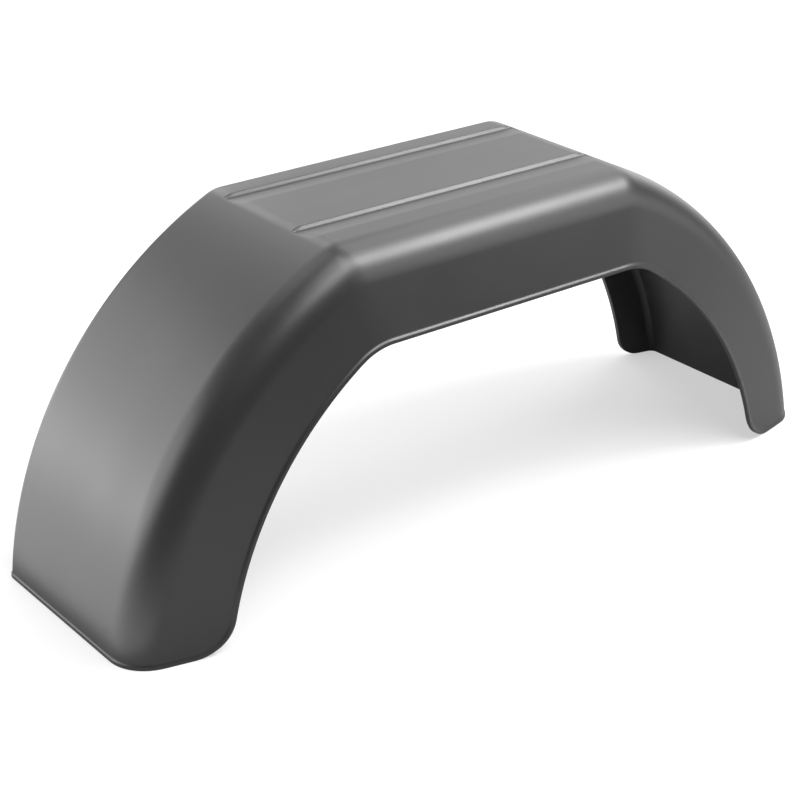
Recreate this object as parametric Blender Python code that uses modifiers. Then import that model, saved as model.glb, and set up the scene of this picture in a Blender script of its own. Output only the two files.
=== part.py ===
"""A one-piece moulded mudguard for a single-axle trailer.

The guard runs along X, front leg at +X and rear leg at -X.
Y is its width: -Y is the open road side with the deep wall, +Y the trailer side with the low one.
Z is up and the feet stand on Z = 0. All sizes are in metres.
"""
import math

import bmesh
import bpy
from mathutils import Matrix

# Side view: a flat deck, then a leg on each side, struck about the wheel's centre
LEG_RADIUS = 0.347           # outside of the tread, from the wheel's centre
DECK_LENGTH = 0.276          # between the two corners where the deck would meet the legs
CENTRE_BELOW_FOOT = 0.046    # the feet end this far above the wheel's centre
DECK_CORNER = 0.030          # radius that eases each of those corners

# Cross-section: flat tread, a wide rounding to the road side, a tight one to the trailer side
TREAD_WIDTH = 0.152
TREAD_FALL = math.radians(1.0)  # deck and legs all lean this much towards the road side
ROAD_ROUNDING = 0.034
TRAILER_ROUNDING = 0.010
DRAFT = math.radians(13.5)   # both walls lean outwards, so that guards stack and leave the mould
WALL = 0.003

# The walls: how far each hangs below the deck, and the wheel arch cut into it
ROAD_WALL_DEPTH = 0.073
TRAILER_WALL_DEPTH = 0.032
ARCH_EASE = 0.008            # the arch's arcs are this much flatter than the tread's
ARCH_PAST_MIDDLE = 0.012     # each arc's centre lies past the middle, so that a leg widens downwards
ARCH_CORNER = 0.052          # between the straight top of the arch and its arcs
ROAD_FOOT_CORNER = 0.034
TRAILER_FOOT_CORNER = 0.021

# A proud bead follows every free edge
BEAD_PROUD = 0.0015
BEAD_HEIGHT = 0.0045

# Two shallow swages stiffen the deck: each falls gently towards +Y and ends in a small step up
SWAGE_DEPTH = 0.0020
SWAGE_WIDTH = 0.022
SWAGE_STEP = 0.0024
ROAD_SWAGE_INSET = 0.039      # from the tread's road-side edge to the foot of the step
TRAILER_SWAGE_INSET = 0.0196  # from the tread's trailer-side edge to the foot of the step

# How finely the round stretches are cut
LEG_STEPS = 14
CORNER_STEPS = 3
DECK_STEPS = 2
ROAD_ROUNDING_STEPS = 6
TRAILER_ROUNDING_STEPS = 3
ARCH_STEPS = 14
ARCH_CORNER_STEPS = 6
FOOT_CORNER_STEPS = 5

# What the walls and legs overrun before they are cut to their outline; the bead's own skin runs
# on further, so that no two ends lie in one plane
OVERRUN = 0.012
BEAD_OVERRUN = 0.017

CENTRE_Z = -CENTRE_BELOW_FOOT
ARCH_CENTRE = (-ARCH_PAST_MIDDLE, CENTRE_Z)
DECK_HEIGHT = math.sqrt(LEG_RADIUS ** 2 - (DECK_LENGTH / 2) ** 2) - CENTRE_BELOW_FOOT


def point_on(centre, radius, angle):
    """Point of a circle in the side view; the angle is measured up from +X."""
    return (centre[0] + radius * math.cos(angle), centre[1] + radius * math.sin(angle))


def arc(centre, radius, start, end, steps):
    """Points of an arc, without its first one."""
    return [point_on(centre, radius, start + (end - start) * i / steps) for i in range(1, steps + 1)]


def side_line(deck_drop, leg_drop, corner, overrun):
    """Half of the guard's side line, from the middle of the deck down past the foot of one leg."""
    height = DECK_HEIGHT - deck_drop
    radius = LEG_RADIUS - leg_drop
    corner_z = height - corner
    corner_x = math.sqrt((radius - corner) ** 2 - (corner_z - CENTRE_Z) ** 2)
    join = math.atan2(corner_z - CENTRE_Z, corner_x)
    foot = math.asin((-overrun - CENTRE_Z) / radius)
    line = [(corner_x * i / DECK_STEPS, height) for i in range(DECK_STEPS + 1)]
    line += arc((corner_x, corner_z), corner, math.pi / 2, join, CORNER_STEPS)
    line += arc((0.0, CENTRE_Z), radius, join, foot, LEG_STEPS)
    return line


def rounding(radius, steps):
    """(outward, down) steps of a rounding from the flat tread to a wall that leans by the draft."""
    turn = math.pi / 2 - DRAFT
    angles = [turn * i / steps for i in range(1, steps + 1)]
    return [(radius * math.sin(a), radius * (1 - math.cos(a))) for a in angles]


def wall_profile(radius, steps, depth, overrun):
    """(outward, down) steps from the tread's edge to past the wall's free edge."""
    steps_out = rounding(radius, steps)
    out, down = steps_out[-1]
    end = depth + overrun
    return steps_out + [(out + (end - down) * math.tan(DRAFT), end)]


def wall_reach(radius, depth):
    """How far a wall's outer face stands out from the tread's edge, at its deepest point."""
    out, down = rounding(radius, 1)[-1]
    return out + (depth - down) * math.tan(DRAFT)


def arch_radius(wall_depth):
    return LEG_RADIUS - wall_depth + ARCH_EASE


def foot_circle(wall_depth, corner, grow=0.0):
    """Centre of the circle that eases an arc of the arch into the foot, outside the arc."""
    x = ARCH_CENTRE[0]
    z = grow + corner
    reach = arch_radius(wall_depth) + grow + corner
    return (x + math.sqrt(reach ** 2 - (z - CENTRE_Z) ** 2), z)


def foot_depth(wall_depth, corner):
    """Depth of a wall where its arch meets the foot's corner, which is its deepest point."""
    centre = foot_circle(wall_depth, corner)
    meet = math.atan2(centre[1] - CENTRE_Z, centre[0] - ARCH_CENTRE[0])
    x, z = point_on(ARCH_CENTRE, arch_radius(wall_depth), meet)
    return LEG_RADIUS - math.hypot(x, z - CENTRE_Z)


# Where the tread's flat edges lie, so that the whole width is centred on Y = 0
TREAD_DROP = TREAD_WIDTH * math.tan(TREAD_FALL)
ROAD_FOOT_DEPTH = foot_depth(ROAD_WALL_DEPTH, ROAD_FOOT_CORNER) - TREAD_DROP
TRAILER_FOOT_DEPTH = foot_depth(TRAILER_WALL_DEPTH, TRAILER_FOOT_CORNER)
BEAD_REACH = BEAD_PROUD / math.cos(DRAFT)
ROAD_REACH = wall_reach(ROAD_ROUNDING, ROAD_FOOT_DEPTH) + BEAD_REACH
TRAILER_REACH = wall_reach(TRAILER_ROUNDING, TRAILER_FOOT_DEPTH) + BEAD_REACH
WIDTH = ROAD_REACH + TREAD_WIDTH + TRAILER_REACH
TREAD_ROAD = -WIDTH / 2 + ROAD_REACH
TREAD_TRAILER = WIDTH / 2 - TRAILER_REACH


def corner_at(depth):
    """The deck corner's radius grows down the wall, to the arch's own corner radius."""
    share = depth / ROAD_WALL_DEPTH
    return DECK_CORNER + (ARCH_CORNER - DECK_CORNER) * share


def swage(step_y):
    """(y, drop) of one swage: where it starts to fall, the foot of its step and the step's top."""
    return [(step_y - SWAGE_WIDTH, 0.0), (step_y, SWAGE_DEPTH), (step_y + SWAGE_STEP, 0.0)]


def fall(y):
    """How far the tread has fallen at y, from its trailer-side edge."""
    return (TREAD_TRAILER - y) * math.tan(TREAD_FALL)


def rings(overrun):
    """(y, deck drop, leg drop) of each side line, from the road-side wall to the trailer-side one."""
    road_depth = ROAD_WALL_DEPTH - TREAD_DROP
    road = wall_profile(ROAD_ROUNDING, ROAD_ROUNDING_STEPS, road_depth, overrun)
    trailer = wall_profile(TRAILER_ROUNDING, TRAILER_ROUNDING_STEPS, TRAILER_WALL_DEPTH, overrun)
    rows = [(TREAD_ROAD - out, TREAD_DROP + down, TREAD_DROP + down) for out, down in reversed(road)]
    rows.append((TREAD_ROAD, TREAD_DROP, TREAD_DROP))
    for step_y in (TREAD_ROAD + ROAD_SWAGE_INSET, TREAD_TRAILER - TRAILER_SWAGE_INSET):
        rows += [(y, fall(y) + drop, fall(y)) for y, drop in swage(step_y)]
    rows.append((TREAD_TRAILER, 0.0, 0.0))
    rows += [(TREAD_TRAILER + out, down, down) for out, down in trailer]
    return rows


def skin_mesh(name, overrun):
    """Half of the guard's outer skin: a loft through the side lines, open at the middle."""
    mesh = bpy.data.meshes.new(name)
    bm = bmesh.new()
    rows = []
    for y, deck_drop, leg_drop in rings(overrun):
        line = side_line(deck_drop, leg_drop, corner_at(leg_drop), overrun)
        rows.append([bm.verts.new((x, y, z)) for x, z in line])
    for near, far in zip(rows, rows[1:]):
        for i in range(len(near) - 1):
            bm.faces.new((near[i], near[i + 1], far[i + 1], far[i]))
    bm.to_mesh(mesh)
    bm.free()
    return mesh


def opening_line(wall_depth, foot_corner, grow=0.0):
    """Half outline of a wall's wheel arch and foot, from the top of the arch to the foot.

    Growing it by the bead's height gives the line where the bead starts.
    """
    top = DECK_HEIGHT - wall_depth + grow
    radius = arch_radius(wall_depth) + grow
    # The arch's corner: a circle inside the arc and under the straight top
    corner_z = top - ARCH_CORNER
    corner_x = ARCH_CENTRE[0] + math.sqrt((radius - ARCH_CORNER) ** 2 - (corner_z - CENTRE_Z) ** 2)
    join = math.atan2(corner_z - CENTRE_Z, corner_x - ARCH_CENTRE[0])
    foot = foot_circle(wall_depth, foot_corner - grow, grow)
    meet = math.atan2(foot[1] - CENTRE_Z, foot[0] - ARCH_CENTRE[0])
    line = [(0.0, top), (corner_x, top)]
    line += arc((corner_x, corner_z), ARCH_CORNER, math.pi / 2, join, ARCH_CORNER_STEPS)
    line += arc(ARCH_CENTRE, radius, join, meet, ARCH_STEPS)
    line += arc(foot, foot_corner - grow, meet + math.pi, 1.5 * math.pi, FOOT_CORNER_STEPS)
    return line


def mirrored(half):
    """Closed outline from its +X half, which starts on the middle line."""
    return half + [(-x, z) for x, z in reversed(half) if x > 0.0]


def prism(name, half, y_low, y_high, collection):
    """A cutter: a side-view outline that runs from y_low to y_high."""
    outline = mirrored(half)
    curve = bpy.data.curves.new(name, "CURVE")
    curve.dimensions = "2D"
    curve.fill_mode = "BOTH"
    curve.extrude = (y_high - y_low) / 2
    spline = curve.splines.new("POLY")
    spline.points.add(len(outline) - 1)
    for point, (x, z) in zip(spline.points, outline):
        point.co = (x, z, 0.0, 1.0)
    spline.use_cyclic_u = True
    source = bpy.data.objects.new(name + "_outline", curve)
    source.matrix_world = Matrix.Translation((0.0, (y_low + y_high) / 2, 0.0)) @ Matrix.Rotation(math.pi / 2, 4, "X")
    collection.objects.link(source)
    bpy.context.view_layer.update()
    evaluated = source.evaluated_get(bpy.context.evaluated_depsgraph_get())
    mesh = bpy.data.meshes.new_from_object(evaluated)
    mesh.name = name
    bm = bmesh.new()
    bm.from_mesh(mesh)
    bmesh.ops.remove_doubles(bm, verts=bm.verts, dist=0.00001)
    bmesh.ops.recalc_face_normals(bm, faces=bm.faces)
    bm.to_mesh(mesh)
    bm.free()
    cutter = bpy.data.objects.new(name, mesh)
    cutter.matrix_world = source.matrix_world
    bpy.data.objects.remove(source)
    collection.objects.link(cutter)
    hide(cutter)
    return cutter


def hide(obj):
    obj.hide_render = True
    obj.display_type = "WIRE"


def mirror(obj):
    mod = obj.modifiers.new("Other leg", "MIRROR")
    mod.use_axis = (True, False, False)
    mod.merge_threshold = 0.0001


def solidify(obj, inward, outward):
    mod = obj.modifiers.new("Thickness", "SOLIDIFY")
    mod.thickness = inward + outward
    mod.offset = 2 * outward / mod.thickness - 1
    mod.use_even_offset = True


def boolean(obj, name, operation, other):
    mod = obj.modifiers.new(name, "BOOLEAN")
    mod.operation = operation
    mod.solver = "EXACT"
    mod.object = other


def moulded_plastic():
    """Black polypropylene that shows dark grey under the lamps."""
    mat = bpy.data.materials.new("moulded_polypropylene")
    mat.use_nodes = True
    shader = mat.node_tree.nodes["Principled BSDF"]
    shader.inputs["Base Color"].default_value = (0.028, 0.028, 0.027, 1.0)
    shader.inputs["Roughness"].default_value = 0.42
    shader.inputs["Metallic"].default_value = 0.0
    return mat


def opening_cutter(name, wall_depth, foot_corner, y_low, y_high, collection, whole_foot, grow=0.0):
    """The wheel arch as a solid; with whole_foot it also takes all that is below the feet."""
    half = opening_line(wall_depth, foot_corner, grow)
    below = -3 * OVERRUN
    if whole_foot:
        half += [(LEG_RADIUS + 4 * OVERRUN, grow), (LEG_RADIUS + 4 * OVERRUN, below)]
    else:
        half += [(half[-1][0], below)]
    return prism(name, half, y_low, y_high, collection)


def build():
    for obj in list(bpy.data.objects):
        bpy.data.objects.remove(obj)
    parts = bpy.data.collections.new("mudguard")
    cutters = bpy.data.collections.new("cutters")
    bpy.context.scene.collection.children.link(parts)
    bpy.context.scene.collection.children.link(cutters)

    side = WIDTH / 2 + 2 * OVERRUN
    middle = (TREAD_ROAD + TREAD_TRAILER) / 2
    road = (ROAD_WALL_DEPTH, ROAD_FOOT_CORNER, -side, side, cutters, True)
    trailer = (TRAILER_WALL_DEPTH, TRAILER_FOOT_CORNER, middle, side, cutters, False)
    road_arch = opening_cutter("road_arch", *road)
    trailer_arch = opening_cutter("trailer_arch", *trailer)
    bead_zone = opening_cutter("road_bead_zone", *road, grow=BEAD_HEIGHT)
    trailer_zone = opening_cutter("trailer_bead_zone", *trailer, grow=BEAD_HEIGHT)
    boolean(bead_zone, "Both walls", "UNION", trailer_zone)

    bead = bpy.data.objects.new("edge_bead", skin_mesh("edge_bead", BEAD_OVERRUN))
    cutters.objects.link(bead)
    hide(bead)
    mirror(bead)
    solidify(bead, WALL / 2, BEAD_PROUD)
    boolean(bead, "Only along the edges", "INTERSECT", bead_zone)

    guard = bpy.data.objects.new("mudguard", skin_mesh("mudguard", OVERRUN))
    parts.objects.link(guard)
    guard.data.materials.append(moulded_plastic())
    mirror(guard)
    solidify(guard, WALL, 0.0)
    boolean(guard, "Edge bead", "UNION", bead)
    boolean(guard, "Road-side arch and feet", "DIFFERENCE", road_arch)
    boolean(guard, "Trailer-side arch", "DIFFERENCE", trailer_arch)
    guard.data.shade_smooth()
    guard.data.set_sharp_from_angle(angle=math.radians(35))
    return guard


build()
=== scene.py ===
# %% [markdown]
# # A moulded mudguard for a trailer's wheel
#
# This lesson dresses one imported CAD part: a guard of black polypropylene that covers the wheel of a
# small single-axle trailer. The real thing is one moulding, so there is one piece to make, and all
# the care goes into its curved faces, its edges and the way its satin surface takes the light.

# %% Load the imported part
import math

import bpy
import numpy as np
from mathutils import Matrix, Vector, kdtree


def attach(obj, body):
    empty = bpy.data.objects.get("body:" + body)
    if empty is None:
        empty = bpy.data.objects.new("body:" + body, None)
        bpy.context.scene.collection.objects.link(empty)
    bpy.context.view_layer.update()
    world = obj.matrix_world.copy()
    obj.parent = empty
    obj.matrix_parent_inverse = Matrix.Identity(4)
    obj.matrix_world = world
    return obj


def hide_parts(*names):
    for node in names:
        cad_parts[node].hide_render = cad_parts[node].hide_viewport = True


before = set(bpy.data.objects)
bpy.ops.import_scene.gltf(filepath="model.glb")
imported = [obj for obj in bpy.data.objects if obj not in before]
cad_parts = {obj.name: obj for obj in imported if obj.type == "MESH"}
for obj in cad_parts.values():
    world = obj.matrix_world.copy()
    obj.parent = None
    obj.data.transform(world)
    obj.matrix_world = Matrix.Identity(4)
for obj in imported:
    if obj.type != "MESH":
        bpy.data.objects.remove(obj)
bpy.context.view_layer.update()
MM = 0.001                    # Blender works in metres; the guard's sizes are given in millimetres

# %% [markdown]
# ## The camera
#
# The photograph was taken from the guard's rear left, a little above it, with a long lens. The
# angles below turn the camera about a point just under the middle of the guard. A small roll
# completes the match, because the real camera wasn't quite level.
#
# A camera can be placed by eye until the outlines meet. These angles were fitted to the guard's
# outline instead, and its edges fall within one to three pixels of where the photograph has them.

# %% Camera at the photograph's angle
FRAME_PIXELS = 800
SENSOR_MM = 36.0
FOCAL_PIXELS = 1833.6         # the focal length, in pixels of the frame
VIEW_AZIMUTH = -0.62406       # radians, from the open road side towards the rear leg
VIEW_HEIGHT = 0.43621         # radians above level
VIEW_ROLL = 0.02980
VIEW_DISTANCE = 1.48447
VIEW_TARGET = Vector((-0.03358, 0.0, 0.09259))


def place_camera():
    """The scene's camera, looking at the target from the angles above."""
    back = Vector((math.sin(VIEW_AZIMUTH) * math.cos(VIEW_HEIGHT),
                   -math.cos(VIEW_AZIMUTH) * math.cos(VIEW_HEIGHT),
                   math.sin(VIEW_HEIGHT)))
    level_right = Vector((math.cos(VIEW_AZIMUTH), math.sin(VIEW_AZIMUTH), 0.0))
    level_up = back.cross(level_right)
    right = math.cos(VIEW_ROLL) * level_right - math.sin(VIEW_ROLL) * level_up
    up = math.sin(VIEW_ROLL) * level_right + math.cos(VIEW_ROLL) * level_up
    data = bpy.data.cameras.new("camera")
    data.sensor_width = SENSOR_MM
    data.lens = FOCAL_PIXELS / FRAME_PIXELS * SENSOR_MM
    camera = bpy.data.objects.new("camera", data)
    turn = Matrix((right, up, back)).transposed().to_4x4()
    camera.matrix_world = Matrix.Translation(VIEW_TARGET + VIEW_DISTANCE * back) @ turn
    bpy.context.scene.collection.objects.link(camera)
    bpy.context.scene.camera = camera
    return camera


camera = place_camera()
print("camera at", [round(c, 3) for c in camera.matrix_world.translation])
print("its lens in mm:", round(camera.data.lens, 1))

# %% [markdown]
# ## The guard's side view
#
# From the side the guard is a flat deck with a leg on each side, and each leg is an arc about the
# wheel's centre. The faces further in, down the walls, follow the same line at a greater depth.
# So one function can place any point of the guard: `along` runs from 0 to 1 on the deck, on to 2
# round the eased corner and then down the leg, and `depth` says how far in from the tread it is.
#
# A subdivided box would give the same silhouette roughly. The formula is used because such moulds
# are cut to plain arcs, and a reflection shows every place where an arc isn't true.

# %% Sizes of the side view
LEG_RADIUS = 347.0 * MM       # of the tread, about the wheel's centre
DECK_LENGTH = 276.0 * MM
CENTRE_Z = -46.0 * MM         # the wheel's centre lies below the plane of the feet
DECK_CORNER = 30.0 * MM       # radius of the corner between deck and leg, on the tread
ARCH_CORNER = 52.0 * MM       # radius of the same corner on the arch
ROAD_WALL_DEPTH = 73.0 * MM
DECK_Z = math.sqrt(LEG_RADIUS ** 2 - (DECK_LENGTH / 2) ** 2) + CENTRE_Z
print("deck height in mm:", round(DECK_Z / MM, 1))


# %% The line at a depth
def corner_of(depth):
    """The corner's radius grows down the wall, until it is the arch's own."""
    return DECK_CORNER + (ARCH_CORNER - DECK_CORNER) * depth / ROAD_WALL_DEPTH


def line_at(depth, dip=0.0):
    """Corner radius, height, the corner's centre and the angle where the leg's arc starts."""
    corner = corner_of(depth)
    height = DECK_Z - depth - dip
    centre_z = height - corner
    reach = LEG_RADIUS - depth - corner
    centre_x = np.sqrt(reach ** 2 - (centre_z - CENTRE_Z) ** 2)
    start = np.arctan2(centre_z - CENTRE_Z, centre_x)
    return corner, height, centre_x, centre_z, start


print("flat of the deck in mm:", round(2 * line_at(0.0)[2] / MM, 1))


# %% A point of the side view
def side_point(along, depth, dip=0.0):
    """(x, z) of the front half; dip lowers the deck alone, as a swage does."""
    corner, height, centre_x, centre_z, start = line_at(depth, dip)
    radius = LEG_RADIUS - depth
    bend = math.pi / 2 + (along - 1) * (start - math.pi / 2)
    swing = start * (3 - along)
    on_deck, on_corner = along <= 1, along <= 2
    x = np.where(on_deck, along * centre_x,
                 np.where(on_corner, centre_x + corner * np.cos(bend), radius * np.cos(swing)))
    z = np.where(on_deck, height,
                 np.where(on_corner, centre_z + corner * np.sin(bend), CENTRE_Z + radius * np.sin(swing)))
    return x, z


print("middle of the corner in mm:", [round(float(c) / MM, 1) for c in side_point(1.5, 0.0)])

# %% [markdown]
# ## The edges of the walls
#
# Each wall is cut by the wheel arch: a straight top, a rounded corner, an arc that makes the leg a
# little wider towards its foot, and a rounded corner at the foot. `wall_edge` draws that line finely
# in the side view, and `to_guard` turns it into the guard's own `along` and `depth`, so that the
# mesh's rows can end exactly on it. A Boolean cut would leave slivers along the edge, and the edge
# is where this part catches the light.

# %% Sizes of the wheel arches
TRAILER_WALL_DEPTH = 32.0 * MM
ARCH_EASE = 8.0 * MM          # the arch's radius is this much larger than the wall's depth gives
ARCH_PAST_MIDDLE = 12.0 * MM  # each leg's arc is struck from this far past the guard's middle
ROAD_FOOT_CORNER = 34.0 * MM
TRAILER_FOOT_CORNER = 21.0 * MM
print("top of the arch on the road side in mm:", round((DECK_Z - ROAD_WALL_DEPTH) / MM, 1))

# %% A wall's free edge
TOP_POINTS = 60
ARCH_CORNER_POINTS = 80
ARCH_POINTS = 300
FOOT_CORNER_POINTS = 120
FOOT_POINTS = 200


def arc_points(centre, radius, start, end, count):
    """(x, z) along an arc between two angles."""
    angle = np.linspace(start, end, count)
    return np.stack([centre[0] + radius * np.cos(angle), centre[1] + radius * np.sin(angle)], axis=1)


def wall_edge(wall_depth, foot_corner):
    """(x, z) from the middle of the arch to outside the foot, and the foot corner's middle point."""
    top = DECK_Z - wall_depth
    radius = LEG_RADIUS - wall_depth + ARCH_EASE
    centre = (-ARCH_PAST_MIDDLE, CENTRE_Z)
    corner_z = top - ARCH_CORNER
    corner_x = centre[0] + math.sqrt((radius - ARCH_CORNER) ** 2 - (corner_z - CENTRE_Z) ** 2)
    join = math.atan2(corner_z - CENTRE_Z, corner_x - centre[0])
    foot_x = centre[0] + math.sqrt((radius + foot_corner) ** 2 - (foot_corner - CENTRE_Z) ** 2)
    meet = math.atan2(foot_corner - CENTRE_Z, foot_x - centre[0])
    straight = np.stack([np.linspace(0, corner_x, TOP_POINTS), np.full(TOP_POINTS, top)], axis=1)
    foot = np.stack([np.linspace(foot_x, LEG_RADIUS, FOOT_POINTS), np.zeros(FOOT_POINTS)], axis=1)
    parts = [straight,
             arc_points((corner_x, corner_z), ARCH_CORNER, math.pi / 2, join, ARCH_CORNER_POINTS)[1:],
             arc_points(centre, radius, join, meet, ARCH_POINTS)[1:],
             arc_points((foot_x, foot_corner), foot_corner, meet + math.pi, 1.5 * math.pi,
                        FOOT_CORNER_POINTS)[1:],
             foot[1:]]
    middle_of_corner = sum(len(part) for part in parts[:3]) + FOOT_CORNER_POINTS // 2
    return np.concatenate(parts), middle_of_corner


road_edge, road_half_way = wall_edge(ROAD_WALL_DEPTH, ROAD_FOOT_CORNER)
print("road wall's edge:", len(road_edge), "points; middle of the foot's corner in mm:",
      [round(c / MM, 1) for c in road_edge[road_half_way]])

# %% From the side view to along and depth
DEPTH_RANGE = (-10.0 * MM, 120.0 * MM)  # every point of a wall's edge lies between these depths
HALVINGS = 40


def outside_by(x, z, depth):
    """How far a side-view point lies outside the line at a depth."""
    corner, height, centre_x, centre_z, start = line_at(depth)
    leg = np.hypot(x, z - CENTRE_Z) - (LEG_RADIUS - depth)
    bend = np.hypot(x - centre_x, z - centre_z) - corner
    on_leg = np.arctan2(z - CENTRE_Z, x) < start
    return np.where(x <= centre_x, z - height, np.where(on_leg, leg, bend))


def to_guard(x, z):
    """(along, depth) of side-view points, found by halving the range of depths."""
    low, high = np.full(x.shape, DEPTH_RANGE[0]), np.full(x.shape, DEPTH_RANGE[1])
    for _ in range(HALVINGS):
        depth = (low + high) / 2
        inside = outside_by(x, z, depth) < 0
        low, high = np.where(inside, depth, low), np.where(inside, high, depth)
    corner, height, centre_x, centre_z, start = line_at(depth)
    swing = np.arctan2(z - CENTRE_Z, x)
    bend = np.arctan2(z - centre_z, x - centre_x)
    along = np.where(x <= centre_x, x / centre_x,
                     np.where(swing < start, 3 - swing / start,
                              1 + (math.pi / 2 - bend) / (math.pi / 2 - start)))
    return along, depth


road_along, road_depth = to_guard(road_edge[:, 0], road_edge[:, 1])
print("road wall: deepest", round(road_depth.max() / MM, 1), "mm, ends at", round(road_along[-1], 3))

# %% [markdown]
# ## The cross-section
#
# Across its width the guard has a flat tread that leans by one degree, a wide rounding into the deep
# wall on the road side and a tight one into the low wall on the trailer side. Both walls lean
# outwards so that the part leaves its mould. Two swages stiffen the deck: each falls gently away
# from the road, then rises in a short step.
#
# All of it is one function of `y`, the place across the guard. Together with the side view it gives
# the whole skin as `surface(along, y)`, and its normals come from two small steps along it. A profile
# curve swept along a path would be quicker to draw, but it couldn't let the swages run out at the
# ends of the deck, or let the corner's radius grow down the wall.

# %% Sizes of the cross-section
DRAFT = math.radians(13.5)
TREAD_FALL = math.radians(1.0)
TREAD_WIDTH = 152.0 * MM
TREAD_ROAD = -61.957 * MM     # y of the tread's edge on the road side, as in the CAD part
TREAD_TRAILER = TREAD_ROAD + TREAD_WIDTH
ROAD_ROUNDING = 34.0 * MM
TRAILER_ROUNDING = 10.0 * MM


def tread_fall(y):
    """How far the leaning tread lies below its trailer edge at y."""
    return (TREAD_TRAILER - y) * math.tan(TREAD_FALL)


ROAD_DROP = tread_fall(TREAD_ROAD)
print("tread falls", round(ROAD_DROP / MM, 2), "mm over its width")

# %% Swages
SWAGE_DEPTH = 2.6 * MM
SWAGE_WIDTH = 22.0 * MM
SWAGE_STEP = 2.8 * MM         # the width of the step up
STEP_EASE = 0.2               # share of the step that its rounded foot and top take
SWAGE_FEET = (TREAD_ROAD + 38.8 * MM, TREAD_TRAILER - 19.6 * MM)


def area_under(share):
    """The area under a line that rises from 0 to 1 and stays there."""
    return np.where(share < 1, np.clip(share, 0, 1) ** 2 / 2, share - 0.5)


def step_up(share):
    """0 to 1 up a straight step with a rounded foot and top."""
    return (area_under(share + STEP_EASE) - area_under(share - STEP_EASE)) / (2 * STEP_EASE)


def swage_dip(y):
    """How far the two swages lower the deck at y."""
    dip = np.zeros_like(y)
    for foot in SWAGE_FEET:
        ramp = np.clip((y - foot + SWAGE_WIDTH) / SWAGE_WIDTH, 0, 1)
        dip = dip + SWAGE_DEPTH * (ramp - step_up((y - foot) / SWAGE_STEP))
    return dip


print("swages' steps start at y in mm:", [round(foot / MM, 1) for foot in SWAGE_FEET])


# %% Roundings and walls
def down_at(out, radius):
    """How far the skin is below the tread's edge, at a distance out from it."""
    turn = radius * math.cos(DRAFT)
    curve = radius - np.sqrt(radius ** 2 - np.clip(out, 0, turn) ** 2)
    return curve + np.maximum(out - turn, 0) / math.tan(DRAFT)


def out_at(down, radius):
    """The reverse of down_at, for a point on the leaning wall."""
    return radius * math.cos(DRAFT) + (down - radius * (1 - math.sin(DRAFT))) * math.tan(DRAFT)


def section(y):
    """(depth, dip) of the guard's cross-section at y."""
    road = ROAD_DROP + down_at(TREAD_ROAD - y, ROAD_ROUNDING)
    trailer = down_at(y - TREAD_TRAILER, TRAILER_ROUNDING)
    depth = np.where(y < TREAD_ROAD, road, np.where(y > TREAD_TRAILER, trailer, tread_fall(y)))
    return depth, swage_dip(y)


print("road wall's edge is", round(out_at(ROAD_WALL_DEPTH - ROAD_DROP, ROAD_ROUNDING) / MM, 1),
      "mm outside the tread")

# %% The whole skin
SWAGE_FADE = (1.2, 2.0)       # the part of the deck's corner over which a swage runs out


def ease(share):
    """0 to 1 along a smooth S."""
    share = np.clip(share, 0, 1)
    return share * share * (3 - 2 * share)


def surface(along, y):
    """Points of the front half of the outer skin."""
    depth, dip = section(y)
    fade = 1 - ease((along - SWAGE_FADE[0]) / (SWAGE_FADE[1] - SWAGE_FADE[0]))
    x, z = side_point(along, depth, dip * fade)
    return np.stack([x, y, z], axis=-1)


def surface_normals(along, y, step=1e-5):
    """Unit normals of the outer skin, pointing out of the guard."""
    forward = surface(along + step, y) - surface(along - step, y)
    sideways = surface(along, y + step) - surface(along, y - step)
    normal = np.cross(forward, sideways)
    return normal / np.linalg.norm(normal, axis=-1, keepdims=True)


deck_middle = surface(np.zeros(1), np.zeros(1))
print("middle of the deck in mm:", [round(c / MM, 1) for c in deck_middle[0]])

# %% [markdown]
# ## Rows and columns
#
# The outer skin is one sheet of four-sided faces, and its outline is the guard's real outline. Rows
# run from foot to foot. Those of the walls are spread between the rounding and the wall's edge, so
# they follow the arch, and the columns close up towards the feet in the same way. Both crowd
# together in the last few millimetres, where the bead and the rounded lip need them. A remesh would
# spread its faces evenly, and would need millions of them to keep such an edge.

# %% Spacing
EDGE_STEPS = np.array([0, 0.12, 0.3, 0.5, 0.9, 1.5, 2.0, 2.3, 2.6, 3.0, 3.4, 3.8, 4.2, 4.6, 5.2, 6.2,
                       8.0, 11.0, 15.0]) * MM
WALL_STEPS = np.array([20.0, 26.0, 33.0, 40.0]) * MM
WIDEST_STEP = 0.9             # steps past this share of a wall's width are left out
DECK_COLUMNS = 12
CORNER_COLUMNS = 14
LEG_COLUMNS = 64
LEG_LENGTH = 330.0 * MM


def columns():
    """Shares of the way along the deck and corner (up to 2), then along the leg (2 to 3)."""
    deck = np.linspace(0, 1, DECK_COLUMNS + 1)
    corner = np.linspace(1, 2, CORNER_COLUMNS + 1)[1:]
    foot = 1 - EDGE_STEPS[::-1] / LEG_LENGTH
    leg = np.linspace(0, foot[0], LEG_COLUMNS + 1)[1:]
    return np.concatenate([deck, corner, 2 + leg, 2 + foot[1:]])


def wall_shares(width):
    """Shares of a wall's width, 1 at its free edge, down to 0 at the rounding."""
    steps = np.concatenate([EDGE_STEPS, WALL_STEPS])
    steps = steps[steps < WIDEST_STEP * width]
    return np.concatenate([1 - steps / width, [0.0]])


SPREAD = columns()
print(len(SPREAD), "columns from the middle to a foot")

# %% [markdown]
# Each row is worked out as two lists, the share `along` and the place `y`. On the tread and the
# roundings a row keeps its `y` and ends where it meets the plane of the feet. On a wall it follows
# the arch.


# %% Rows of the walls
def stretch(end):
    """The columns, with the leg's share ending at `end`."""
    return np.where(SPREAD <= 2, SPREAD, 2 + (SPREAD - 2) * (end - 2))


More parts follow.
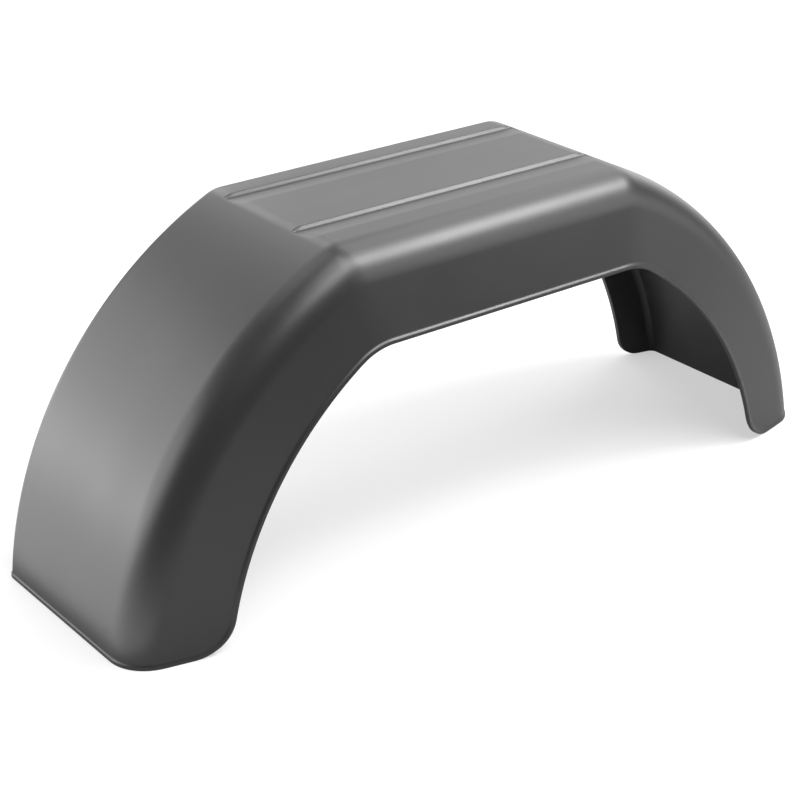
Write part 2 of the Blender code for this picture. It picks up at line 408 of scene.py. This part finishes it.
def wall_rows(wall_depth, foot_corner, top_depth):
    """(along, depth) rows from a wall's free edge up to its rounding."""
    edge, half_way = wall_edge(wall_depth, foot_corner)
    along, depth = to_guard(edge[:, 0], edge[:, 1])
    corner_depth = depth[half_way]
    edge_depth = np.interp(stretch(along[half_way]), along[:half_way + 1], depth[:half_way + 1])
    rows = []
    for share in wall_shares((wall_depth - top_depth) / math.cos(DRAFT)):
        end_depth = top_depth + share * (corner_depth - top_depth)
        end = np.interp(-end_depth, -depth[half_way:], along[half_way:])
        rows.append((stretch(end), top_depth + share * (edge_depth - top_depth)))
    return rows


def road_wall_rows():
    """(along, y) rows of the deep wall."""
    top = ROAD_DROP + ROAD_ROUNDING * (1 - math.sin(DRAFT))
    return [(along, TREAD_ROAD - out_at(depth - ROAD_DROP, ROAD_ROUNDING))
            for along, depth in wall_rows(ROAD_WALL_DEPTH, ROAD_FOOT_CORNER, top)]


def trailer_wall_rows():
    """(along, y) rows of the low wall, its free edge first as well."""
    top = TRAILER_ROUNDING * (1 - math.sin(DRAFT))
    return [(along, TREAD_TRAILER + out_at(depth, TRAILER_ROUNDING))
            for along, depth in wall_rows(TRAILER_WALL_DEPTH, TRAILER_FOOT_CORNER, top)]


print("rows of the walls:", len(road_wall_rows()), "on the road side,", len(trailer_wall_rows()), "behind")

# %% Rows of the roundings
ROAD_TURNS = 20
TRAILER_TURNS = 10


def foot_along(depth):
    """Where the line at a depth reaches the plane of the feet."""
    start = line_at(depth)[4]
    return 3 - np.arcsin(-CENTRE_Z / (LEG_RADIUS - depth)) / start


def level_row(y):
    """A row that keeps its y, from the middle of the deck to the foot."""
    return stretch(foot_along(section(np.array(y))[0])), np.full(SPREAD.shape, y)


def road_rounding_rows():
    """From the road wall up to the tread."""
    turns = np.linspace(math.pi / 2 - DRAFT, 0, ROAD_TURNS)[1:-1]
    return [level_row(TREAD_ROAD - ROAD_ROUNDING * math.sin(turn)) for turn in turns]


def trailer_rounding_rows():
    """From the tread down to the trailer wall."""
    turns = np.linspace(0, math.pi / 2 - DRAFT, TRAILER_TURNS)[1:-1]
    return [level_row(TREAD_TRAILER + TRAILER_ROUNDING * math.sin(turn)) for turn in turns]


print("the tread's road edge meets the foot at along =", round(float(foot_along(ROAD_DROP)), 3))

# %% Rows of the tread, and the outer skin
RAMP_ROWS = np.array([-1.5, 0.0, 1.5, 6.0, 11.0, 16.0, 19.0]) * MM  # from where a swage's fall starts
STEP_ROWS = np.linspace(-1.6, 4.8, 19) * MM                         # from the foot of its step
MIDDLE_MARGINS = (12.0 * MM, 6.0 * MM)
MIDDLE_ROWS = 6
MIRROR = (-1, 1, 1)


def tread_rows():
    """Rows of the flat tread, close together at each swage's step."""
    ys = [[TREAD_ROAD, TREAD_TRAILER]]
    for foot in SWAGE_FEET:
        ys += [foot - SWAGE_WIDTH + RAMP_ROWS, foot + STEP_ROWS]
    ys.append(np.linspace(SWAGE_FEET[0] + MIDDLE_MARGINS[0],
                          SWAGE_FEET[1] - SWAGE_WIDTH - MIDDLE_MARGINS[1], MIDDLE_ROWS))
    return [level_row(y) for y in np.unique(np.round(np.concatenate(ys), 6))]


def both_legs(half):
    """Adds the mirrored rear half to a grid of points or normals."""
    return np.concatenate([half[:, :0:-1] * MIRROR, half], axis=1)


rows = (road_wall_rows() + road_rounding_rows() + tread_rows()
        + trailer_rounding_rows() + trailer_wall_rows()[::-1])
row_along, row_y = (np.array(part) for part in zip(*rows))
skin = both_legs(surface(row_along, row_y))
normals = both_legs(surface_normals(row_along, row_y))
print("skin:", skin.shape[0], "rows of", skin.shape[1], "points")

# %% [markdown]
# ## The bead, the lip and the thickness
#
# Along every free edge the moulding carries a small bead: the skin steps outwards, runs level for
# two or three millimetres and turns in to a lip. The bead is laid on by moving each point outwards,
# by an amount that depends on how far it lies from the edge, and is smaller at the feet. The same
# distance rounds the lip. The inner face is the outer one moved in by the wall's thickness.
#
# A round curve laid along the edge could stand for the bead, but the real one is part of the wall,
# and the join of a separate piece would show as a dark seam.
#
# Away from the edges "outwards" is the surface's normal. At an edge it leans into the cut, because
# the arches are cut straight across the guard and the feet are cut level.

# %% Distance to the free edge
AT_FOOT = 0.01 * MM           # outline points lower than this lie in the plane of the feet
OUTLINE_SPACING = 0.15 * MM


def outline_of(points):
    """The closed outline of a grid, as one list of points."""
    return np.concatenate([points[0, :-1], points[:-1, -1], points[-1, :0:-1], points[:0:-1, 0]])


def cut_normals(line):
    """For each stretch of the outline, the direction across its cut, in the side view."""
    step = np.roll(line, -1, axis=0) - line
    across = np.stack([-step[:, 2], np.zeros(len(step)), step[:, 0]], axis=1)
    at_foot = (line[:, 2] < AT_FOOT) & (np.roll(line[:, 2], -1) < AT_FOOT)
    across[at_foot] = (0, 0, 1)
    return across / np.linalg.norm(across, axis=1, keepdims=True)


def nearest_edge(points, line):
    """For each grid point, its distance to the outline and the cut's direction there."""
    dense, owner = [], []
    ends = np.roll(line, -1, axis=0)
    for number, (start, end) in enumerate(zip(line, ends)):
        count = max(1, int(np.linalg.norm(end - start) / OUTLINE_SPACING))
        dense.append(start + (end - start) * (np.arange(count) / count)[:, None])
        owner += [number] * count
    dense = np.concatenate(dense)
    tree = kdtree.KDTree(len(dense))
    for number, point in enumerate(dense):
        tree.insert(point, number)
    tree.balance()
    found = [tree.find(point) for point in points.reshape(-1, 3)]
    distance = np.array([hit[2] for hit in found]).reshape(points.shape[:2])
    cut = cut_normals(line)[[owner[hit[1]] for hit in found]].reshape(points.shape)
    return distance, cut


distance, cut = nearest_edge(skin, outline_of(skin))
print("furthest from an edge in mm:", round(distance.max() / MM, 1))

# %% Bead and lip
WALL = 3.0 * MM
BEAD_PROUD = 1.3 * MM
BEAD_FACE = 2.3 * MM          # how far the bead runs level before its ledge
BEAD_LEDGE = 2.1 * MM         # the width of the ledge that leads back to the wall
FOOT_BEAD = 0.45              # how proud the bead is along the feet, as a share
FOOT_REACH = 14.0 * MM        # the height at which it is the full bead
LIP = 0.5 * MM                # radius of the lip's rounded edges
CUT_BLEND = 12.0 * MM         # how far from an edge the cut's direction reaches


def outwards(normal, distance, cut):
    """The normal, leaning into the cut near an edge, and as long as keeps the wall's thickness."""
    lean = normal - cut * (normal * cut).sum(axis=2, keepdims=True)
    lean = lean / (lean * normal).sum(axis=2, keepdims=True)
    share = 1 - ease(distance / CUT_BLEND)[:, :, None]
    return normal + share * (lean - normal)


def lip_drop(distance):
    """How far the rounded lip falls back near the edge."""
    near = np.clip(1 - distance / LIP, 0, 1)
    return LIP * (1 - np.sqrt(1 - near ** 2))


def bead_height(distance, height):
    """How far the bead stands out, at a distance from the edge and a height over the feet."""
    ledge = 1 - ease((distance - BEAD_FACE) / BEAD_LEDGE)
    full = FOOT_BEAD + (1 - FOOT_BEAD) * ease(height / FOOT_REACH)
    return BEAD_PROUD * full * ledge - lip_drop(distance)


direction = outwards(normals, distance, cut)
outer = skin + direction * bead_height(distance, skin[:, :, 2])[:, :, None]
inner = skin - direction * (WALL - lip_drop(distance))[:, :, None]
print("outer skin reaches", [round(c / MM, 1) for c in outer.reshape(-1, 3).max(axis=0)])

# %% [markdown]
# ## The mesh
#
# The two skins share one layout, so the mesh is written straight from the grids: the outer faces,
# the inner faces turned over, and a strip around the outline that joins them. A Solidify modifier
# would thicken one skin too, but along its normals alone, and the feet wouldn't end level. The
# weighted normals keep the flat faces flat right up to the rounded lip.

# %% Build the guard
FACE_WEIGHT = 60              # how much the larger faces lead; Blender's own value is 50


def grid_faces(rows, count, first, flip):
    """Four-sided faces over a grid whose first point has the number `first`."""
    faces = []
    for r in range(rows - 1):
        for c in range(count - 1):
            a = first + r * count + c
            face = (a, a + 1, a + count + 1, a + count)
            faces.append(face[::-1] if flip else face)
    return faces


def build_guard(outer, inner):
    """One closed mesh from the two skins."""
    rows, count = outer.shape[:2]
    size = rows * count
    points = np.concatenate([outer.reshape(-1, 3), inner.reshape(-1, 3)])
    faces = grid_faces(rows, count, 0, False) + grid_faces(rows, count, size, True)
    index = np.arange(size).reshape(rows, count)
    ring = [int(i) for i in outline_of(index[:, :, None]).ravel()]
    for a, b in zip(ring, ring[1:] + ring[:1]):
        faces.append((b, a, a + size, b + size))
    mesh = bpy.data.meshes.new("moulded_guard")
    mesh.from_pydata(points.tolist(), [], faces)
    mesh.shade_smooth()
    guard = bpy.data.objects.new("moulded_guard", mesh)
    bpy.context.scene.collection.objects.link(guard)
    weighted = guard.modifiers.new("Flat faces stay flat", "WEIGHTED_NORMAL")
    weighted.weight = FACE_WEIGHT
    return guard


guard = build_guard(outer, inner)
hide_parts("mudguard")
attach(guard, "root")
print(guard.name, "has", len(guard.data.vertices), "points and", len(guard.data.polygons), "faces")

# %% [markdown]
# ## Two helpers for materials
#
# Colours are written as the hex values that a picture editor shows, and one function turns them into
# the linear values that the shaders use. Materials are built in code by one function that adds a
# node, sets its inputs and links it to the nodes before it.


# %% Colours and nodes
def srgb(code):
    """A hex colour as the linear values that Blender's shaders use."""
    parts = [int(code[i:i + 2], 16) / 255 for i in (1, 3, 5)]
    linear = [c / 12.92 if c <= 0.04045 else ((c + 0.055) / 1.055) ** 2.4 for c in parts]
    return (*linear, 1.0)


def add_node(tree, kind, inputs=None, **settings):
    """Adds a node; an input is a plain value or another node's output."""
    node = tree.nodes.new(kind)
    for key, value in settings.items():
        setattr(node, key, value)
    for key, value in (inputs or {}).items():
        named = [socket for socket in node.inputs if socket.enabled and socket.name == key]
        socket = named[0] if named else node.inputs[key]
        if isinstance(value, bpy.types.NodeSocket):
            tree.links.new(value, socket)
        else:
            socket.default_value = value
    return node


print("mid grey as linear:", round(srgb("#808080")[0], 3))

# %% [markdown]
# ## The plastic
#
# The guard is polypropylene, coloured black in the melt and moulded against a finely grained steel
# tool. It is never quite black to the eye: the grain scatters the studio's light, so faces that look
# up are mid grey and only the inside is dark. The grain itself is finer than a pixel here, so most
# of it is in the roughness, and a light bump carries the rest.
#
# A picture of a plastic surface would repeat, and would stretch where the guard bends. Noise in the
# object's own space has no seams, so three patterns run over deck, legs and walls alike: wide clouds
# and long flow lines in the sheen, and the fine grain in the bump.

# %% Moulded polypropylene
PLASTIC = "#262626"
PLASTIC_PALE = "#2d2d2c"      # where the black is a little thinner, and where hands have dulled it
PLASTIC_IOR = 1.62            # polypropylene is near 1.50; the grain's many small facets add to the sheen
SATIN = (0.34, 0.41)          # roughness, from the smoothest patches to the dullest, as on satin mouldings
CLOUD_MM = 70.0               # size of the patches in colour and sheen
CLOUD_LEVELS = 4.0            # how many times the patches break up into finer ones
CLOUD_BREAK_UP = 0.6          # and how strong the finer ones are
FLOW_MM = (400.0, 40.0)       # faint flow lines run along the guard, so they are long and narrow
FLOW_LEVELS = 2.0
PATCH_SPAN = (0.6, 1.4)       # clouds and flow lines add up to values between these
GRAIN_MM = 0.9                # the real grain is near 0.3 mm, drawn coarser so that it shows
GRAIN_LEVELS = 2.0
GRAIN_DEPTH_MM = 0.1
GRAIN_STRENGTH = 0.35


def satin_black_polypropylene():
    """Near-black plastic: soft wide reflections, with the faint unevenness of a moulded face."""
    mat = bpy.data.materials.new("satin_black_polypropylene")
    mat.use_nodes = True
    tree = mat.node_tree
    tree.nodes.clear()
    place = add_node(tree, "ShaderNodeTexCoord").outputs["Object"]
    clouds = add_node(tree, "ShaderNodeTexNoise", {
        "Vector": place, "Scale": 1 / (CLOUD_MM * MM), "Detail": CLOUD_LEVELS, "Roughness": CLOUD_BREAK_UP})
    along_guard = add_node(tree, "ShaderNodeMapping", {
        "Vector": place, "Scale": (FLOW_MM[1] / FLOW_MM[0], 1, FLOW_MM[1] / FLOW_MM[0])})
    flow = add_node(tree, "ShaderNodeTexNoise", {
        "Vector": along_guard.outputs["Vector"], "Scale": 1 / (FLOW_MM[1] * MM), "Detail": FLOW_LEVELS})
    grain = add_node(tree, "ShaderNodeTexNoise", {
        "Vector": place, "Scale": 1 / (GRAIN_MM * MM), "Detail": GRAIN_LEVELS})
    colour = add_node(tree, "ShaderNodeMix", {
        "Factor": clouds.outputs["Fac"], "A": srgb(PLASTIC), "B": srgb(PLASTIC_PALE)}, data_type="RGBA")
    uneven = add_node(tree, "ShaderNodeMath", {
        0: clouds.outputs["Fac"], 1: flow.outputs["Fac"]}, operation="ADD")
    sheen = add_node(tree, "ShaderNodeMapRange", {
        "Value": uneven.outputs["Value"], "From Min": PATCH_SPAN[0], "From Max": PATCH_SPAN[1],
        "To Min": SATIN[0], "To Max": SATIN[1]})
    bump = add_node(tree, "ShaderNodeBump", {
        "Height": grain.outputs["Fac"], "Strength": GRAIN_STRENGTH, "Distance": GRAIN_DEPTH_MM * MM})
    shader = add_node(tree, "ShaderNodeBsdfPrincipled", {
        "Base Color": colour.outputs[2], "IOR": PLASTIC_IOR,
        "Roughness": sheen.outputs["Result"], "Normal": bump.outputs["Normal"]})
    add_node(tree, "ShaderNodeOutputMaterial", {"Surface": shader.outputs["BSDF"]})
    return mat


guard.data.materials.append(satin_black_polypropylene())
print("material:", guard.data.materials[0].name)

# %% [markdown]
# ## The floor
#
# The guard stands on white studio paper. A paper white enough to show as white by itself would throw
# so much light up into the guard that its inside turned grey. So the paper is a light grey, and rays
# from the camera, from reflections and through clear materials also see a small glow, which brings it
# up to white. Its shadows stay.
#
# Rays from reflections see only a tenth of that white. The guard is satin plastic, not metal or
# glass, and a white room mirrored in its dark wall would turn the wall grey.

# %% White for the camera
WHITE = "#ffffff"
GLOSSY_SHARE = 0.1


def seen_white(tree):
    """How much of the white a ray sees: all, a tenth in a reflection, none for light that bounces."""
    path = add_node(tree, "ShaderNodeLightPath")
    direct = add_node(tree, "ShaderNodeMath", {
        0: path.outputs["Is Camera Ray"], 1: path.outputs["Is Transmission Ray"]}, operation="MAXIMUM")
    gloss = add_node(tree, "ShaderNodeMath", {
        0: path.outputs["Is Glossy Ray"], 1: GLOSSY_SHARE}, operation="MULTIPLY")
    either = add_node(tree, "ShaderNodeMath", {
        0: direct.outputs["Value"], 1: gloss.outputs["Value"]}, operation="MAXIMUM")
    return either.outputs["Value"]


print("reflections see", GLOSSY_SHARE, "of the white")

# %% Studio paper
FLOOR_SIZE = 8.0              # metres
PAPER = "#bababa"
PAPER_GLOW = (0.5, 1.0)       # near the guard, and far off where the lamps no longer reach
GLOW_REACH = (1.0, 2.2)       # metres from the guard over which the glow grows


def studio_paper():
    """Matt seamless paper: it takes soft shadows, mirrors nothing and looks white."""
    mat = bpy.data.materials.new("studio_paper")
    mat.use_nodes = True
    tree = mat.node_tree
    tree.nodes.clear()
    paper = add_node(tree, "ShaderNodeBsdfDiffuse", {"Color": srgb(PAPER)})
    place = add_node(tree, "ShaderNodeTexCoord").outputs["Object"]
    away = add_node(tree, "ShaderNodeVectorMath", {0: place}, operation="LENGTH")
    grown = add_node(tree, "ShaderNodeMapRange", {
        "Value": away.outputs["Value"], "From Min": GLOW_REACH[0], "From Max": GLOW_REACH[1],
        "To Min": PAPER_GLOW[0], "To Max": PAPER_GLOW[1]})
    lift = add_node(tree, "ShaderNodeMath", {
        0: seen_white(tree), 1: grown.outputs["Result"]}, operation="MULTIPLY")
    glow = add_node(tree, "ShaderNodeEmission", {"Color": srgb(WHITE), "Strength": lift.outputs["Value"]})
    both = add_node(tree, "ShaderNodeAddShader", {0: paper.outputs["BSDF"], 1: glow.outputs["Emission"]})
    add_node(tree, "ShaderNodeOutputMaterial", {"Surface": both.outputs["Shader"]})
    return mat


def make_floor():
    """One large sheet of the paper, under the feet."""
    mesh = bpy.data.meshes.new("floor")
    h = FLOOR_SIZE / 2
    mesh.from_pydata([(-h, -h, 0), (h, -h, 0), (h, h, 0), (-h, h, 0)], [], [(0, 1, 2, 3)])
    floor = bpy.data.objects.new("floor", mesh)
    bpy.context.scene.collection.objects.link(floor)
    floor.data.materials.append(studio_paper())
    return floor


floor = make_floor()
print("floor:", FLOOR_SIZE, "m of paper at", PAPER)

# %% [markdown]
# ## The light
#
# Black plastic shows little of its own colour. What the eye sees is the lamps, spread wide by the
# satin surface, so each region of the guard tells where a soft box stood. For a region, the place to
# look is where a mirror there would send the camera's gaze. Three groups came out of that: boxes
# overhead, boxes behind, and weak ones at the ends and in front. A single large lamp would light the
# guard just as well, but its roundings would lose the bright line and the soft bands.
#
# Each lamp is named for the side of the guard that it stands on: the road side, the trailer side, the
# front leg's end or the rear leg's end.

# %% A soft box
LAMP_DISTANCE = 1.7           # metres
LAMP_AIM = Vector((0, 0, 0.12))


def soft_box(name, azimuth, elevation, width, height, power):
    """A lamp that faces the guard; azimuth runs in degrees from the road side towards +X."""
    turn, rise = math.radians(azimuth), math.radians(elevation)
    away = Vector((math.sin(turn) * math.cos(rise), -math.cos(turn) * math.cos(rise), math.sin(rise)))
    data = bpy.data.lights.new(name, "AREA")
    data.shape = "RECTANGLE"
    data.size, data.size_y = width, height
    data.energy = power
    lamp = bpy.data.objects.new(name, data)
    place = LAMP_AIM + LAMP_DISTANCE * away
    lamp.matrix_world = Matrix.Translation(place) @ away.to_track_quat("Z", "Y").to_matrix().to_4x4()
    lamp.visible_camera = False
    bpy.context.scene.collection.objects.link(lamp)
    return lamp


def watts(lamps):
    """The lamps' power in all."""
    return round(sum(lamp.data.energy for lamp in lamps), 1)


print("lamps stand", LAMP_DISTANCE, "m from", tuple(round(c, 2) for c in LAMP_AIM))

# %% [markdown]
# The strongest box draws the bright line along the rounding and the fine ones on the swages' steps.
# The others overhead make the soft bands where the rounding turns down the legs.

# %% Boxes overhead
overhead = [soft_box("high_road_front_key", 60, 52, 0.7, 0.45, 17),
            soft_box("high_road_front", 20, 62, 0.5, 0.5, 6),
            soft_box("high_road", 350, 57, 0.5, 0.5, 7.5),
            soft_box("overhead", 340, 77, 0.5, 0.5, 5),
            soft_box("high_trailer_rear", 218, 68, 0.6, 0.6, 2),
            soft_box("high_front", 108, 57, 1.2, 0.9, 8.5)]
print(len(overhead), "boxes overhead,", watts(overhead), "W")

# %% [markdown]
# The deck mirrors the large box on the trailer side towards the front, and the rear leg's tread
# mirrors those towards the rear. Two weaker ones fill the fold between deck and tread.

# %% Boxes behind
behind = [soft_box("trailer_rear", 228, 16, 1.9, 1.1, 16),
          soft_box("trailer_rear_low", 221, 2, 1.9, 0.4, 6),
          soft_box("trailer_front", 140, 20, 2.2, 1.4, 12.5),
          soft_box("trailer_narrow", 168, 37, 0.5, 1.0, 2.5),
          soft_box("trailer_middle", 189, 42, 1.0, 1.2, 3.5)]
print(len(behind), "boxes behind,", watts(behind), "W")

# %% [markdown]
# The road-side wall looks out to where little stands. Weak boxes keep it just above black, and
# lighten the front leg's wall and the rear leg's far edge.

# %% Boxes at the ends and in front
fill = [soft_box("rear_end", 262, 18, 0.7, 0.9, 4),
        soft_box("front_end", 110, 16, 0.9, 1.2, 3),
        soft_box("road_front", 40, 26, 0.9, 0.8, 5),
        soft_box("road_front_low", 62, 10, 1.0, 0.6, 2.3)]
print(len(fill), "fill boxes,", watts(fill), "W")

# %% [markdown]
# The foot of the rear leg leans so far that it mirrors the floor just behind it. The photograph is
# still light there, as if a white card lay on the floor, so one does here.

# %% Bounce card
CARD_PLACE = Vector((-0.66, 0.28, 0.004))
CARD_SIZE = (0.6, 0.95)
CARD_POWER = 2.2


def bounce_card():
    """A glowing card that lies on the floor and faces up."""
    data = bpy.data.lights.new("bounce_card", "AREA")
    data.shape = "RECTANGLE"
    data.size, data.size_y = CARD_SIZE
    data.energy = CARD_POWER
    card = bpy.data.objects.new("bounce_card", data)
    card.matrix_world = Matrix.Translation(CARD_PLACE) @ Matrix.Rotation(math.pi, 4, "X")
    card.visible_camera = False
    bpy.context.scene.collection.objects.link(card)
    return card


card = bounce_card()
print("bounce card at", [round(c, 2) for c in card.matrix_world.translation])

# %% [markdown]
# ## The world
#
# A weak even light from all sides fills the deepest shadows. Beyond the paper's edge the camera sees
# plain white, by the same function as on the paper, so the background has no seam.

# %% World
WORLD_STRENGTH = 0.05
BACKGROUND_STRENGTH = 1.0


def make_world():
    """Weak even light, with white behind everything that the camera sees."""
    world = bpy.data.worlds.new("studio")
    world.use_nodes = True
    tree = world.node_tree
    tree.nodes.clear()
    sky = add_node(tree, "ShaderNodeBackground", {"Color": srgb(WHITE), "Strength": WORLD_STRENGTH})
    back = add_node(tree, "ShaderNodeBackground", {"Color": srgb(WHITE), "Strength": BACKGROUND_STRENGTH})
    mix = add_node(tree, "ShaderNodeMixShader", {
        "Fac": seen_white(tree), 1: sky.outputs["Background"], 2: back.outputs["Background"]})
    add_node(tree, "ShaderNodeOutputWorld", {"Surface": mix.outputs["Shader"]})
    bpy.context.scene.world = world
    return world


world = make_world()
print("world:", world.name, "at", WORLD_STRENGTH)

# %% [markdown]
# ## The last settings
#
# The Standard view transform shows a colour as it is written.

# %% View settings
bpy.context.scene.view_settings.view_transform = "Standard"
